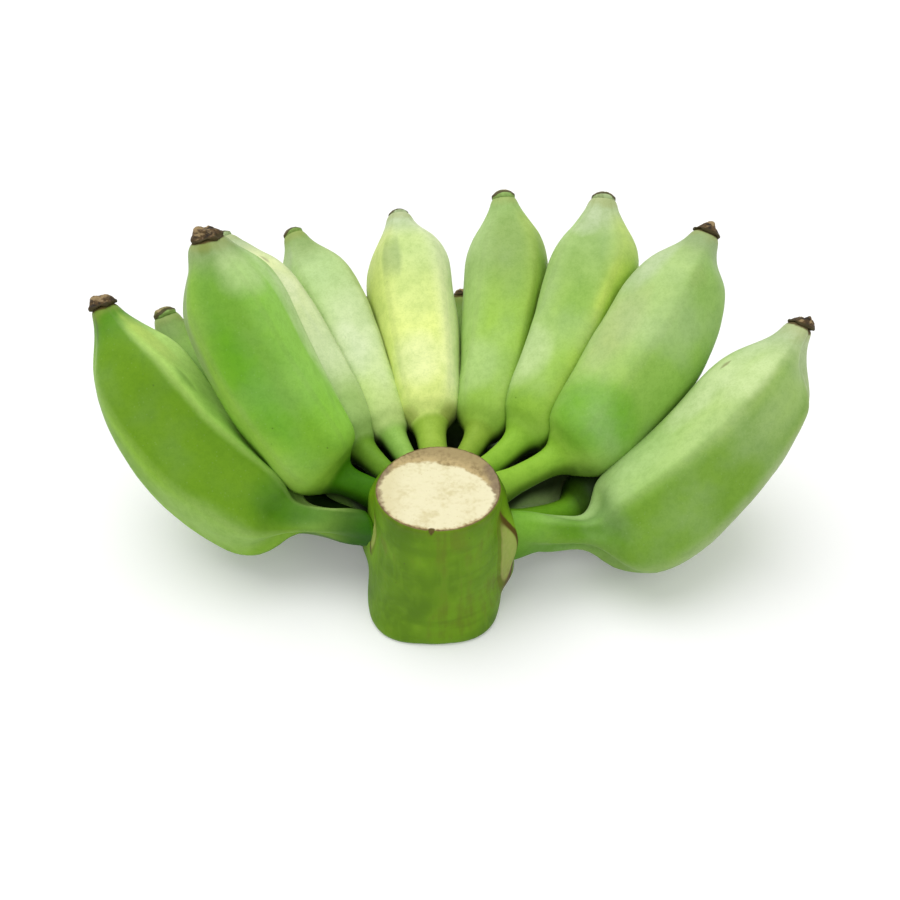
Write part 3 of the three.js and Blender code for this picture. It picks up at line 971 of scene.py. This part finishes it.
stalkColours = {
    "skin": "6c9612", "skinPale": "82ae24", "skinDark": "54790c", "skinBrown": "5c5a18",
    "pith": "efe7c2", "pithShade": "d6c999", "pithDot": "c9b685",
    "barkPale": "c4ae7e", "bark": "a8956a", "barkDark": "86734e", "barkPurple": "7b6a5c", "edge": "5f4a28",
    # deep, near black, is painted shade for the gaps between the stems
    "scar": "b3b268", "scarLine": "573a18", "speck": "4a4420", "deep": "101c04",
    "foot": "86b42c",
}

stalkLayers = {
    "mottled": ("skin", 0.35, 0.68, 1),
    "pale": ("skinPale", 0.45, 0.8, 0.4),
    "bands": ("skinDark", 0.5, 0.7, 0.35),
    "fibres": ("skinPale", 0.52, 0.75, 0.25),
    "smears": ("skinBrown", 0.52, 0.64, 0.45),
    "worn": ("skinBrown", stalkTop - 5 * mm, stalkTop, 0.25),
    "scar": ("scar", 1.0, 0.88, 1),
    "scarLine": ("scarLine", 1.45, 1.25, 1),
    "pithShade": ("pithShade", 0.45, 0.68, 0.7),
    "pithSide": ("pithShade", 0.35, 1.0, 0.55),
    "bark": ("bark", 1.0, 1.3, 1),
    "barkDark": ("barkDark", 0.45, 0.7, 0.7),
    "barkPurple": ("barkPurple", 0.6, 0.95, 0.6),
    "edge": ("edge", 0.975, 0.995, 0.7),
    "nick": ("edge", 0.25, 0.6, 0.9),
}

stalkDetail = {
    # scale and detail of the large, middling and fine ones, the bands across and the fibres along
    "noises": [(40, 2), (150, 3), (620, 3), (1.0, 3, (30, 30, 330)), (1.0, 2, (340, 340, 36))],
    "specks": (300, 0.13, 0.2, 0.55),     # as the peel's
    "pithDots": (900, 0.3, 0.15, 0.4),
    "pithEnd": (0.95, 1.04),         # where the pith turns into bark
    "cutEdge": (0.35, 0.6),          # and the skin into the sawn face
    "roughness": 0.52,
    "cutRough": 0.3,                 # what the sawn face adds
    "specular": 0.15,
    "bump": (0.45, 0.5 * mm),        # strength and depth
}


def rimOf(level):
    # the middle and the radius of the stalk's end at that height
    points = [v.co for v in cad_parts["stalk"].data.vertices if abs(v.co.z - level) < 0.05 * mm]
    low = Vector([min(p[i] for p in points) for i in range(3)])
    high = Vector([max(p[i] for p in points) for i in range(3)])
    return (low + high) / 2, (high.x - low.x) / 2


stalkHead, headRadius = rimOf(stalkTop)
stalkBase, _ = rimOf(0.0)


def outwardOf(point):
    # the level way from the stalk's middle line to a point
    middle = stalkBase.lerp(stalkHead, point.z / stalkTop)
    return Vector((point.x - middle.x, point.y - middle.y, 0))


def awayFrom(mark, turn, height):
    # 0 at the middle of a scar or a swell, and 1 at its edge
    heading, middle, halfTurn, halfHeight, _ = mark
    return hypot((turn - heading) / halfTurn, (height - middle) / halfHeight)


def pithReach(point):
    # below 1 in the pith, more in the bark
    across = (point.x - stalkHead.x) / (stalkShape["pithWide"] * headRadius)
    deep = (point.y - stalkHead.y + stalkShape["pithFront"]) / (stalkShape["pithDeep"] * headRadius)
    return hypot(across + stalkShape["pithSkew"] * max(deep, 0), deep)


def makeStalk(feet):
    piece = mergedCopy("stalk", "stalk_skin")
    editMode(selectAll=True)
    bpy.ops.mesh.tris_convert_to_quads(face_threshold=0.8, shape_threshold=0.8)
    for sign, level, crease in ((1, stalkTop, "topCrease"), (-1, 0.0, "baseCrease")):
        def atEnd(face):
            return face.normal.z * sign > 0.95 and abs(face.center.z - level) < 0.1 * mm

        selectParts(piece, "FACE", atEnd)
        bpy.ops.mesh.dissolve_faces(use_verts=False)
        bpy.ops.mesh.region_to_loop()
        bpy.ops.transform.edge_crease(value=stalkShape[crease])
        selectParts(piece, "FACE", atEnd)
        for _ in range(stalkShape["rings"]):
            bpy.ops.mesh.inset(thickness=headRadius / (stalkShape["rings"] + 2))
        bpy.ops.mesh.poke()
    objectMode()
    smoothSkin(piece, stalkShape["levels"])
    heading, halfWidth, nickHeight, nickDepth = stalkShape["nick"]
    marks = {name: [] for name in stalkMarks}
    bark = []
    for vertex in piece.data.vertices:
        p = vertex.co.copy()
        outward = outwardOf(p)
        out = min(outward.length / headRadius, 1.0)
        turn = degrees(atan2(outward.x, outward.y))
        depth = stalkTop - p.z
        onTop = depth < stalkShape["cutDepth"]
        wide = stalkShape["rimOut"] * (1 - ease(depth, 0, stalkShape["rimDepth"]))
        for swell in stalkSwells:
            wide += swell[-1] * (1 - ease(awayFrom(swell, turn, p.z), 0, 1))
        scar, far = 2.0, 0.0
        for mark in stalkScars:
            reach = awayFrom(mark, turn, p.z)
            if reach < scar:
                scar, far = reach, abs(mark[0]) - abs(turn)
            inner, outer = stalkShape["scarRing"]
            wide += mark[-1] * (1 - ease(reach, inner, outer))
            wide -= mark[-1] * stalkShape["scarHollow"] * (1 - ease(reach, 0.0, inner))
        near = min((p - foot).length for foot in feet)
        wide += (stalkShape["collar"] * (1 - ease(near, *stalkShape["collarReach"]))
                 * ease(depth, *stalkShape["collarTop"]))
        away = ((turn - heading + 180) % 360 - 180) * radians(headRadius)
        nick = (1 - ease(abs(away) / halfWidth + depth / nickHeight, 0.2, 1)) * ease(out, 0.95, 1.0)
        wide -= nickDepth * nick
        lift = 0.0
        if onTop:
            reach = pithReach(p)
            lift = (stalkShape["barkUp"] * ease(reach, *stalkShape["barkRise"])
                    - stalkShape["pithDip"] * (1 - ease(reach, *stalkShape["pithEdge"])))
        vertex.co = p + outward.normalized() * wide * out ** 3 + Vector((0, 0, lift))
        behind = ease(cos(radians(turn)), *stalkShape["behind"])
        below = ease(depth, *stalkShape["markTop"])
        # where shade is painted: the gaps between the stems, at the back and below the sawn face
        gap = (1 - ease(near, *stalkShape["gapReach"])) * behind * below
        fresh = (1 - ease(near, *stalkShape["footReach"])) * (1 - behind) * below
        for name, value in zip(stalkMarks, (float(onTop), scar, far, nick, gap, fresh)):
            marks[name].append(value)
        bark.append(float(not onTop and p.z >= stalkShape["cutDepth"]))
    for name, values in marks.items():
        putAttribute(piece, name, values)
    roughen(piece, stalkShape["lumps"], bark)
    roughen(piece, stalkShape["grain"], marks["cut"])
    return piece


def paintStalk():
    paint = Paint("stalk_skin", stalkColours, stalkLayers)
    coat, lay, rise, waver = paint.coat, paint.lay, paint.rise, paint.waver
    cut, scar, scarFar, nick, gap, foot = [paint.attribute(name) for name in stalkMarks]
    right = paint.axis("X") - stalkHead.x
    back = paint.axis("Y") - stalkHead.y
    large, middling, fine, bands, fibres = [paint.noise(*each) for each in stalkDetail["noises"]]
    # the skin: mottled, with faint bands across, finer fibres along it, and a few brown smears
    smears = large * 0.45 + middling * 0.25 + fibres * 0.3
    skin = paint.colour("skinDark")
    for layer, value in (("mottled", large), ("pale", middling), ("bands", bands), ("fibres", fibres),
                         ("smears", smears)):
        skin = coat(skin, layer, value)
    skin = lay(skin, "speck", paint.dots(*stalkDetail["specks"]))
    skin = coat(skin, "worn", waver(paint.axis("Z"), middling, 6 * mm))
    skin = lay(skin, "foot", foot * 0.6)
    # old scars, with a brown line round each
    far = rise(waver(scarFar, large, 4), -4, 5)
    skin = coat(skin, "scar", waver(scar, middling, 0.2), 0.3 + fine * 0.5)
    skin = coat(skin, "scarLine", waver(scar, middling, 0.3), rise(scar, 0.75, 0.95), 0.3 + far * 0.65)
    # painted shade: near black in the gaps between the stems at the back of the cushion
    skin = lay(skin, "deep", gap * 0.93)
    # the sawn face: pith nearer the front, mottled bark round it with a ragged inner edge
    across = right / (stalkShape["pithWide"] * headRadius)
    deep = (back + stalkShape["pithFront"]) / (stalkShape["pithDeep"] * headRadius)
    skewed = across + deep.calc("MAXIMUM", 0.0) * stalkShape["pithSkew"]
    reach = waver(waver((skewed * skewed + deep * deep) ** 0.5, middling, 0.16), fine, 0.12)
    pith = coat(paint.colour("pith"), "pithShade", middling * 0.6 + fine * 0.4)
    pith = coat(pith, "pithSide", waver(across * -1, large, 0.8))
    pith = lay(pith, "pithDot", paint.dots(*stalkDetail["pithDots"]))
    bark = coat(paint.colour("barkPale"), "bark", waver(reach, fine, 0.3))
    bark = coat(bark, "barkDark", middling * 0.5 + fine * 0.5)
    bark = coat(bark, "barkPurple", waver(across * across, middling, 0.6))
    face = paint.mix(rise(reach, *stalkDetail["pithEnd"]), pith, bark)
    out = (right * right + back * back) ** 0.5 / (headRadius + stalkShape["rimOut"])
    face = coat(face, "edge", waver(out, fine, 0.04))
    colour = paint.mix(rise(waver(cut, middling, 0.5), *stalkDetail["cutEdge"]), skin, face)
    colour = coat(colour, "nick", nick)
    roughness = waver(stalkDetail["roughness"] + cut * stalkDetail["cutRough"], fine, 0.2)
    return paint.finish(colour, roughness, fibres * 0.4 + fine * 0.6 + middling * 0.4, stalkDetail)


# putting the hand together

feet = []
for number in sorted(fingerLooks):
    peel, centres = makeFinger(number)
    feet.append(centres[-1])
    finishPiece(peel, "finger_" + number, paintPeel(number))
    finishPiece(makeCrust(number, centres), "flower_end_" + number, paintCrust(number))
print("fingers and flower ends made")

finishPiece(makeStalk(feet), "stalk", paintStalk())
print("stalk made")


# floor, light and camera

stageLook = {
    "floor": "f2f2f2",
    "floorSize": 14.0,
    "floorDrop": 0.02 * mm,    # how far it lies under the ground plane
    "roughness": 0.9,
    "lift": 0.16,              # what is added to the floor for the camera, so that it shows white
    "sky": 0.55,
}

lampLooks = {
    # strength, softness in degrees, and the point of the sky that it shines from (right, back, up)
    "key": (1.5, 60, (-0.25, 0.15, 1.0)),
    "fill": (0.45, 70, (0.3, -1.0, 0.7)),
}

cameraLook = {
    "elevation": 38.5,
    "distance": 380 * mm,      # from the eye's plane to the stalk's top
    "viewWidth": 333 * mm,     # seen across the view at that distance
    "stalkLeft": 4.4 * mm,     # where the stalk's top stands in the view, left of its centre
    "stalkDown": 14.1 * mm,    # and below it
    "sensor": 36,
    "nearest": 0.01,
}


def makeFloor():
    bpy.ops.object.select_all(action="DESELECT")
    bpy.ops.mesh.primitive_plane_add(size=stageLook["floorSize"], location=(0, 0, -stageLook["floorDrop"]))
    floor = bpy.context.object
    floor.name = "floor"
    paint = Paint("floor", stageLook)
    paint.feed("Base Color", paint.colour("floor"))
    paint.feed("Roughness", stageLook["roughness"])
    paint.feed("Specular IOR Level", 0.0)
    paint.feed("Emission Color", paint.mix(paint.seen(), (0, 0, 0, 1), (1, 1, 1, 1)))
    paint.feed("Emission Strength", stageLook["lift"])
    floor.data.materials.append(paint.material)


def makeLight():
    scene.world = bpy.data.worlds.new("studio")
    sky = Nodes(scene.world)
    light, backdrop = [sky.node("ShaderNodeBackground", None, {"Color": (1, 1, 1, 1), "Strength": strength})
                       for strength in (stageLook["sky"], 1.0)]
    both = sky.node("ShaderNodeMixShader", None, {0: sky.seen(), 1: light, 2: backdrop})
    sky.tree.links.new(both.socket, sky.tree.nodes["World Output"].inputs["Surface"])
    for name, (strength, softness, source) in lampLooks.items():
        lamp = bpy.data.lights.new(name, "SUN")
        lamp.energy = strength
        lamp.angle = radians(softness)
        holder = bpy.data.objects.new(name, lamp)
        holder.rotation_euler = Vector(source).to_track_quat("Z", "Y").to_euler()
        scene.collection.objects.link(holder)


def makeCamera():
    lens = bpy.data.cameras.new("camera")
    camera = bpy.data.objects.new("camera", lens)
    scene.collection.objects.link(camera)
    slope = radians(cameraLook["elevation"])
    ahead = Vector((0, cos(slope), -sin(slope)))
    upward = Vector((0, sin(slope), cos(slope)))
    camera.location = (stalkHead - ahead * cameraLook["distance"] + upward * cameraLook["stalkDown"]
                       + Vector((cameraLook["stalkLeft"], 0, 0)))
    camera.rotation_euler = (radians(90 - cameraLook["elevation"]), 0, 0)
    lens.sensor_width = cameraLook["sensor"]
    lens.lens = cameraLook["sensor"] * cameraLook["distance"] / cameraLook["viewWidth"]
    lens.clip_start = cameraLook["nearest"]
    scene.camera = camera


makeFloor()
makeLight()
makeCamera()
scene.view_settings.view_transform = "Standard"
print("floor, light and camera made")
